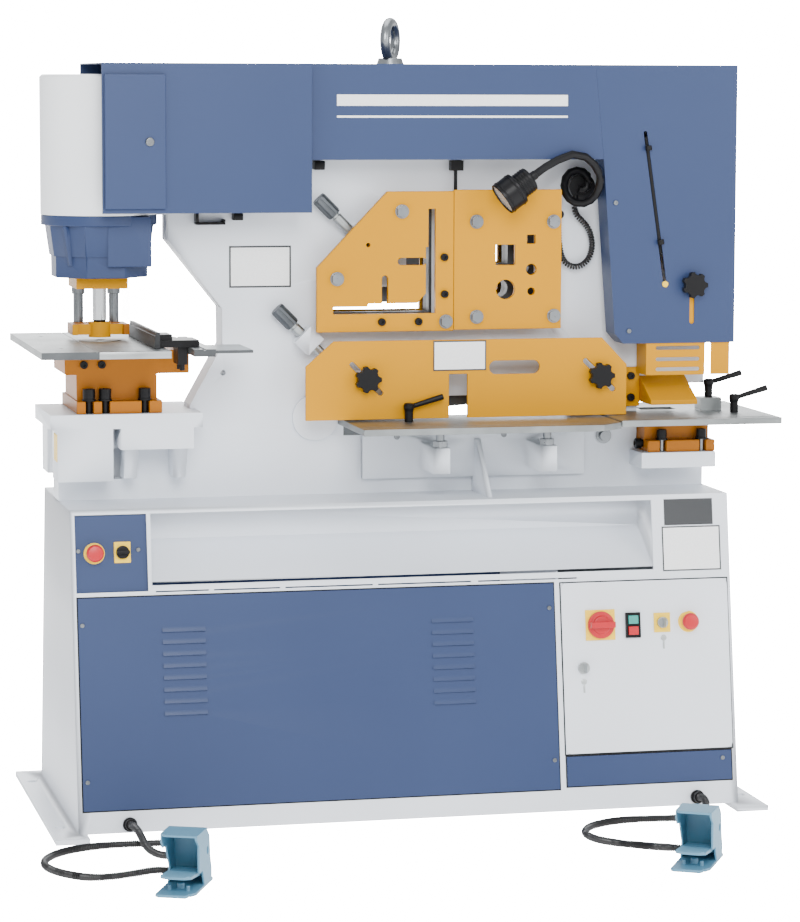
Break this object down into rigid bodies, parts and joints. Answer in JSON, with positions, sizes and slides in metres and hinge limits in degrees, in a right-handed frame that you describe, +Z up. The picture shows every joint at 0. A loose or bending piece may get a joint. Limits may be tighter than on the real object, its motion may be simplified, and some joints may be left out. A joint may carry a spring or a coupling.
{
  "type": "profile shearing machine",
  "caption": "Hydraulic ironworker with a punch station in a C-frame, angle, bar and flat shears, a notcher, a cabinet base with a scrap chute, foot pedals and a work lamp.",
  "frame": {"origin": "on the floor, midway between the four anchor holes", "axes": "+X to the operator's right, +Y to the back, +Z up; the front faces -Y"},
  "size_m": [1.8307, 1.3494, 1.867],
  "materials": {
    "white_paint": "semi-gloss white coating",
    "blue_paint": "semi-gloss blue coating",
    "yellow_paint": "gloss yellow coating",
    "orange_paint": "gloss orange coating",
    "bare_steel": "ground",
    "dark_steel": "oil-blackened",
    "chrome": "hard chrome",
    "black_plastic": "moulded",
    "red_plastic": "moulded",
    "green_plastic": "moulded",
    "clear_plastic": "clear sheet",
    "pedal_paint": "hammered blue coating",
    "black_rubber": "corrugated"
  },
  "bodies": {
    "machine": {"base_cabinet": "white_paint", "cabinet_panels": "blue_paint", "control_panel": "blue_paint", "control_gear": "bare_steel", "main_frame": "white_paint", "pivot_pin": "bare_steel", "fixed_blades": "bare_steel", "punch_cylinder": "white_paint", "punch_head": "blue_paint", "stripper": "yellow_paint", "clear_guards": "clear_plastic", "punch_die": "bare_steel", "punch_bolster": "orange_paint", "hex_bolts": "bare_steel", "punch_table": "bare_steel", "scale_rail": "bare_steel", "left_cover": "blue_paint", "beam_cover": "blue_paint", "right_cover": "blue_paint", "eyebolt": "bare_steel", "angle_shear_plate": "yellow_paint", "bar_shear_plate": "yellow_paint", "flat_table": "bare_steel", "notch_hood": "yellow_paint", "notch_bolster": "orange_paint", "notch_table": "bare_steel", "left_pedal": "pedal_paint", "right_pedal": "pedal_paint", "left_conduit": "black_rubber", "right_conduit": "black_rubber", "cable_glands": "black_plastic", "work_lamp": "black_plastic", "lamp_cord": "black_rubber"},
    "beam": {"shear_beam": "dark_steel", "beam_blades": "bare_steel"},
    "selector_knob_body": {"selector_knob": "black_plastic"},
    "panel_stop_button_body": {"panel_stop_button": "red_plastic"},
    "electrical_door_body": {"electrical_door": "white_paint"},
    "main_switch_knob_body": {"main_switch_knob": "red_plastic"},
    "start_button_body": {"start_button": "green_plastic"},
    "stop_button_body": {"stop_button": "red_plastic"},
    "switch_key_body": {"switch_key": "bare_steel"},
    "door_stop_button_body": {"door_stop_button": "red_plastic"},
    "door_lock_body": {"door_lock": "bare_steel"},
    "punch_ram_body": {"punch_ram": "chrome"},
    "table_fence_body": {"table_fence": "bare_steel"},
    "cover_door_body": {"cover_door": "blue_paint"},
    "stroke_rod_body": {"stroke_rod": "dark_steel"},
    "upper_spindle_body": {"upper_spindle": "bare_steel"},
    "lower_spindle_body": {"lower_spindle": "bare_steel"},
    "flat_shear_guard_body": {"flat_shear_guard": "yellow_paint"},
    "guard_knob_left_body": {"guard_knob_left": "black_plastic"},
    "guard_knob_right_body": {"guard_knob_right": "black_plastic"},
    "table_lever_body": {"table_lever": "black_plastic"},
    "notch_guard_body": {"notch_guard": "yellow_paint"},
    "notch_guard_knob_body": {"notch_guard_knob": "black_plastic"},
    "notch_lever_front_body": {"notch_lever_front": "black_plastic"},
    "notch_lever_back_body": {"notch_lever_back": "black_plastic"},
    "left_pedal_plate_body": {"left_pedal_plate": "pedal_paint"},
    "right_pedal_plate_body": {"right_pedal_plate": "pedal_paint"}
  },
  "joints": [
    {"name": "selector_turn", "type": "hinge", "parent": "machine", "child": "selector_knob_body", "pos_m": [-0.67, -0.24019, 0.643], "axis": [0, -0.9882, 0.1532], "range_deg": [-45, 45]},
    {"name": "panel_stop_push", "type": "slide", "parent": "machine", "child": "panel_stop_button_body", "axis": [0, 0.9882, -0.1532], "range_m": [0, 0.004], "stiffness_N_per_m": 800, "springref_m": -0.002},
    {"name": "electrical_door_swing", "type": "hinge", "parent": "machine", "child": "electrical_door_body", "pos_m": [0.78, -0.29731, 0.30061], "axis": [0, 0.1532, 0.9882], "range_deg": [0, 110]},
    {"name": "main_switch_turn", "type": "hinge", "parent": "electrical_door_body", "child": "main_switch_knob_body", "pos_m": [0.461, -0.27166, 0.44], "axis": [0, -0.9882, 0.1532], "range_deg": [0, 90]},
    {"name": "start_push", "type": "slide", "parent": "electrical_door_body", "child": "start_button_body", "axis": [0, 0.9882, -0.1532], "range_m": [0, 0.0025], "stiffness_N_per_m": 600, "springref_m": -0.002},
    {"name": "stop_push", "type": "slide", "parent": "electrical_door_body", "child": "stop_button_body", "axis": [0, 0.9882, -0.1532], "range_m": [0, 0.0025], "stiffness_N_per_m": 600, "springref_m": -0.002},
    {"name": "key_turn", "type": "hinge", "parent": "electrical_door_body", "child": "switch_key_body", "pos_m": [0.614, -0.2715, 0.441], "axis": [0, -0.9882, 0.1532], "range_deg": [0, 90]},
    {"name": "door_stop_push", "type": "slide", "parent": "electrical_door_body", "child": "door_stop_button_body", "axis": [0, 0.9882, -0.1532], "range_m": [0, 0.004], "stiffness_N_per_m": 800, "springref_m": -0.002},
    {"name": "door_lock_turn", "type": "hinge", "parent": "electrical_door_body", "child": "door_lock_body", "pos_m": [0.417, -0.287, 0.341], "axis": [0, -0.9882, 0.1532], "range_deg": [0, 90]},
    {"name": "beam_swing", "type": "hinge", "parent": "machine", "child": "beam", "pos_m": [-0.18, 0, 0.925], "axis": [0, 1, 0], "range_deg": [0, 4]},
    {"name": "punch_stroke", "type": "slide", "parent": "machine", "child": "punch_ram_body", "axis": [0, 0, -1], "range_m": [0, 0.04]},
    {"name": "fence_slide", "type": "slide", "parent": "machine", "child": "table_fence_body", "axis": [0, 1, 0], "range_m": [-0.05, 0.06]},
    {"name": "cover_door_swing", "type": "hinge", "parent": "machine", "child": "cover_door_body", "pos_m": [-0.7, -0.2003, 1.578], "axis": [0, 0, -1], "range_deg": [0, 90]},
    {"name": "stroke_rod_slide", "type": "slide", "parent": "machine", "child": "stroke_rod_body", "axis": [0.146, 0, -0.9893], "range_m": [0, 0.06]},
    {"name": "upper_spindle_turn", "type": "hinge", "parent": "machine", "child": "upper_spindle_body", "pos_m": [-0.177, -0.071, 1.444], "axis": [0.7071, 0, -0.7071], "continuous": true},
    {"name": "lower_spindle_turn", "type": "hinge", "parent": "machine", "child": "lower_spindle_body", "pos_m": [-0.277, -0.071, 1.186], "axis": [0.7071, 0, -0.7071], "continuous": true},
    {"name": "flat_guard_slide", "type": "slide", "parent": "machine", "child": "flat_shear_guard_body", "axis": [-0.7071, 0, 0.7071], "range_m": [0, 0.035]},
    {"name": "guard_knob_left_turn", "type": "hinge", "parent": "machine", "child": "guard_knob_left_body", "pos_m": [-0.078, -0.15, 1.023], "axis": [0, 1, 0], "continuous": true},
    {"name": "guard_knob_right_turn", "type": "hinge", "parent": "machine", "child": "guard_knob_right_body", "pos_m": [0.491, -0.15, 1.023], "axis": [0, 1, 0], "continuous": true},
    {"name": "table_lever_turn", "type": "hinge", "parent": "machine", "child": "table_lever_body", "pos_m": [0.02, -0.169, 0.922], "axis": [0, 0, 1], "range_deg": [-170, 0]},
    {"name": "notch_guard_slide", "type": "slide", "parent": "machine", "child": "notch_guard_body", "axis": [0, 0, -1], "range_m": [0, 0.075]},
    {"name": "notch_knob_turn", "type": "hinge", "parent": "notch_guard_body", "child": "notch_guard_knob_body", "pos_m": [0.718, -0.158, 1.236], "axis": [0, 1, 0], "continuous": true},
    {"name": "notch_lever_front_turn", "type": "hinge", "parent": "machine", "child": "notch_lever_front_body", "pos_m": [0.837, -0.131, 0.925], "axis": [0, 0, 1], "range_deg": [-100, 10]},
    {"name": "notch_lever_back_turn", "type": "hinge", "parent": "machine", "child": "notch_lever_back_body", "pos_m": [0.797, -0.055, 0.956], "axis": [0, 0, 1], "range_deg": [-90, 60]},
    {"name": "left_pedal_press", "type": "hinge", "parent": "machine", "child": "left_pedal_plate_body", "pos_m": [-0.61185, -0.7965, 0.026], "axis": [0.9135, -0.4067, 0], "range_deg": [0, 8], "stiffness_Nm_per_rad": 8, "springref_deg": -20.05},
    {"name": "right_pedal_press", "type": "hinge", "parent": "machine", "child": "right_pedal_plate_body", "pos_m": [0.536, -0.82297, 0.026], "axis": [0.866, -0.5, 0], "range_deg": [0, 8], "stiffness_Nm_per_rad": 8, "springref_deg": -20.05}
  ],
  "couplings": [
    {"joint": "stroke_rod_slide", "follows": "beam_swing", "m_per_rad": 0.8}
  ]
}
